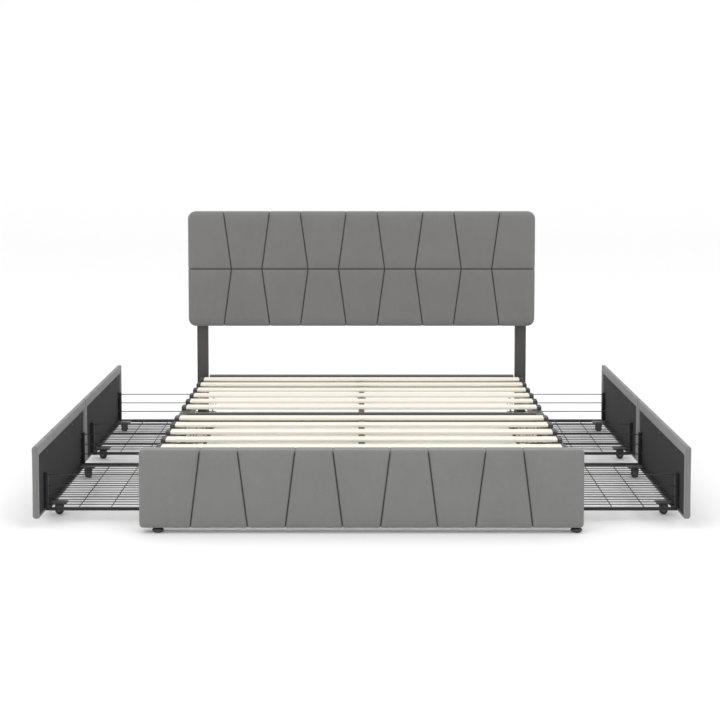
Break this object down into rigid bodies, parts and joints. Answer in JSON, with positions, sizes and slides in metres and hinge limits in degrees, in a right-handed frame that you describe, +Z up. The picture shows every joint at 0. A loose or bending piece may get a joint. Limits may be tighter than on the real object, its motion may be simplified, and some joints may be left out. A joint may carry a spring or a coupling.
{
  "type": "platform bed with storage drawers",
  "caption": "Upholstered platform bed on a steel frame with wooden slats, a channelled headboard and rolling wire-basket storage drawers on both sides.",
  "frame": {"origin": "on the floor under the middle of the bed's overall box", "axes": "+Z up, +Y from the footboard to the headboard, +X to the right seen from the foot"},
  "size_m": [2.408, 2.165, 1.057],
  "materials": {
    "upholstery": "woven grey upholstery fabric over foam",
    "dark_board": "board covered in a dark lining",
    "frame_steel": "satin dark grey powder coat",
    "caster_steel": "satin dark grey",
    "bolt_steel": "blackened steel",
    "basket_wire": "satin black powder coat",
    "slat_wood": "pale plain wood",
    "cap_plastic": "black moulded plastic",
    "wheel_plastic": "black moulded plastic",
    "foot_plastic": "black moulded plastic"
  },
  "bodies": {
    "bed_frame": {"headboard_cushion": "upholstery", "headboard_backing": "dark_board", "headboard_post_left": "frame_steel", "headboard_post_right": "frame_steel", "footboard_cushion": "upholstery", "footboard_backing": "dark_board", "side_rail_left": "frame_steel", "side_rail_right": "frame_steel", "head_rail": "frame_steel", "cross_rail": "frame_steel", "centre_rail": "frame_steel", "support_legs": "frame_steel", "slat_caps": "cap_plastic", "frame_bolts": "bolt_steel", "slat_01": "slat_wood", "slat_02": "slat_wood", "slat_03": "slat_wood", "slat_04": "slat_wood", "slat_05": "slat_wood", "slat_06": "slat_wood", "slat_07": "slat_wood", "slat_08": "slat_wood", "slat_09": "slat_wood", "slat_10": "slat_wood", "slat_11": "slat_wood", "slat_12": "slat_wood"},
    "levelling_foot_left": {"levelling_foot_left": "foot_plastic"},
    "levelling_foot_right": {"levelling_foot_right": "foot_plastic"},
    "drawer_left_foot": {"left_foot_front": "upholstery", "left_foot_board": "dark_board", "left_foot_basket": "basket_wire", "left_foot_casters": "caster_steel"},
    "left_foot_wheel_1": {"left_foot_wheel_1": "wheel_plastic"},
    "left_foot_wheel_2": {"left_foot_wheel_2": "wheel_plastic"},
    "left_foot_wheel_3": {"left_foot_wheel_3": "wheel_plastic"},
    "left_foot_wheel_4": {"left_foot_wheel_4": "wheel_plastic"},
    "drawer_left_head": {"left_head_front": "upholstery", "left_head_board": "dark_board", "left_head_basket": "basket_wire", "left_head_casters": "caster_steel"},
    "left_head_wheel_1": {"left_head_wheel_1": "wheel_plastic"},
    "left_head_wheel_2": {"left_head_wheel_2": "wheel_plastic"},
    "left_head_wheel_3": {"left_head_wheel_3": "wheel_plastic"},
    "left_head_wheel_4": {"left_head_wheel_4": "wheel_plastic"},
    "drawer_right_foot": {"right_foot_front": "upholstery", "right_foot_board": "dark_board", "right_foot_basket": "basket_wire", "right_foot_casters": "caster_steel"},
    "right_foot_wheel_1": {"right_foot_wheel_1": "wheel_plastic"},
    "right_foot_wheel_2": {"right_foot_wheel_2": "wheel_plastic"},
    "right_foot_wheel_3": {"right_foot_wheel_3": "wheel_plastic"},
    "right_foot_wheel_4": {"right_foot_wheel_4": "wheel_plastic"},
    "drawer_right_head": {"right_head_front": "upholstery", "right_head_board": "dark_board", "right_head_basket": "basket_wire", "right_head_casters": "caster_steel"},
    "right_head_wheel_1": {"right_head_wheel_1": "wheel_plastic"},
    "right_head_wheel_2": {"right_head_wheel_2": "wheel_plastic"},
    "right_head_wheel_3": {"right_head_wheel_3": "wheel_plastic"},
    "right_head_wheel_4": {"right_head_wheel_4": "wheel_plastic"}
  },
  "joints": [
    {"name": "left_levelling_foot_extension", "type": "slide", "parent": "bed_frame", "child": "levelling_foot_left", "axis": [0, 0, -1], "range_m": [0, 0.008]},
    {"name": "right_levelling_foot_extension", "type": "slide", "parent": "bed_frame", "child": "levelling_foot_right", "axis": [0, 0, -1], "range_m": [0, 0.008]},
    {"name": "drawer_left_foot_slide", "type": "slide", "parent": "bed_frame", "child": "drawer_left_foot", "axis": [-1, 0, 0], "range_m": [-0.37, 0.1]},
    {"name": "left_foot_wheel_1_spin", "type": "hinge", "parent": "drawer_left_foot", "child": "left_foot_wheel_1", "pos_m": [-0.736, -0.774, 0.016], "axis": [0, 1, 0], "continuous": true},
    {"name": "left_foot_wheel_2_spin", "type": "hinge", "parent": "drawer_left_foot", "child": "left_foot_wheel_2", "pos_m": [-1.141, -0.774, 0.016], "axis": [0, 1, 0], "continuous": true},
    {"name": "left_foot_wheel_3_spin", "type": "hinge", "parent": "drawer_left_foot", "child": "left_foot_wheel_3", "pos_m": [-0.736, -0.126, 0.016], "axis": [0, 1, 0], "continuous": true},
    {"name": "left_foot_wheel_4_spin", "type": "hinge", "parent": "drawer_left_foot", "child": "left_foot_wheel_4", "pos_m": [-1.141, -0.126, 0.016], "axis": [0, 1, 0], "continuous": true},
    {"name": "drawer_left_head_slide", "type": "slide", "parent": "bed_frame", "child": "drawer_left_head", "axis": [-1, 0, 0], "range_m": [-0.37, 0.1]},
    {"name": "left_head_wheel_1_spin", "type": "hinge", "parent": "drawer_left_head", "child": "left_head_wheel_1", "pos_m": [-0.736, 0.267, 0.016], "axis": [0, 1, 0], "continuous": true},
    {"name": "left_head_wheel_2_spin", "type": "hinge", "parent": "drawer_left_head", "child": "left_head_wheel_2", "pos_m": [-1.141, 0.267, 0.016], "axis": [0, 1, 0], "continuous": true},
    {"name": "left_head_wheel_3_spin", "type": "hinge", "parent": "drawer_left_head", "child": "left_head_wheel_3", "pos_m": [-0.736, 0.915, 0.016], "axis": [0, 1, 0], "continuous": true},
    {"name": "left_head_wheel_4_spin", "type": "hinge", "parent": "drawer_left_head", "child": "left_head_wheel_4", "pos_m": [-1.141, 0.915, 0.016], "axis": [0, 1, 0], "continuous": true},
    {"name": "drawer_right_foot_slide", "type": "slide", "parent": "bed_frame", "child": "drawer_right_foot", "axis": [1, 0, 0], "range_m": [-0.37, 0.1]},
    {"name": "right_foot_wheel_1_spin", "type": "hinge", "parent": "drawer_right_foot", "child": "right_foot_wheel_1", "pos_m": [0.736, -0.774, 0.016], "axis": [0, 1, 0], "continuous": true},
    {"name": "right_foot_wheel_2_spin", "type": "hinge", "parent": "drawer_right_foot", "child": "right_foot_wheel_2", "pos_m": [1.141, -0.774, 0.016], "axis": [0, 1, 0], "continuous": true},
    {"name": "right_foot_wheel_3_spin", "type": "hinge", "parent": "drawer_right_foot", "child": "right_foot_wheel_3", "pos_m": [0.736, -0.126, 0.016], "axis": [0, 1, 0], "continuous": true},
    {"name": "right_foot_wheel_4_spin", "type": "hinge", "parent": "drawer_right_foot", "child": "right_foot_wheel_4", "pos_m": [1.141, -0.126, 0.016], "axis": [0, 1, 0], "continuous": true},
    {"name": "drawer_right_head_slide", "type": "slide", "parent": "bed_frame", "child": "drawer_right_head", "axis": [1, 0, 0], "range_m": [-0.37, 0.1]},
    {"name": "right_head_wheel_1_spin", "type": "hinge", "parent": "drawer_right_head", "child": "right_head_wheel_1", "pos_m": [0.736, 0.267, 0.016], "axis": [0, 1, 0], "continuous": true},
    {"name": "right_head_wheel_2_spin", "type": "hinge", "parent": "drawer_right_head", "child": "right_head_wheel_2", "pos_m": [1.141, 0.267, 0.016], "axis": [0, 1, 0], "continuous": true},
    {"name": "right_head_wheel_3_spin", "type": "hinge", "parent": "drawer_right_head", "child": "right_head_wheel_3", "pos_m": [0.736, 0.915, 0.016], "axis": [0, 1, 0], "continuous": true},
    {"name": "right_head_wheel_4_spin", "type": "hinge", "parent": "drawer_right_head", "child": "right_head_wheel_4", "pos_m": [1.141, 0.915, 0.016], "axis": [0, 1, 0], "continuous": true}
  ]
}
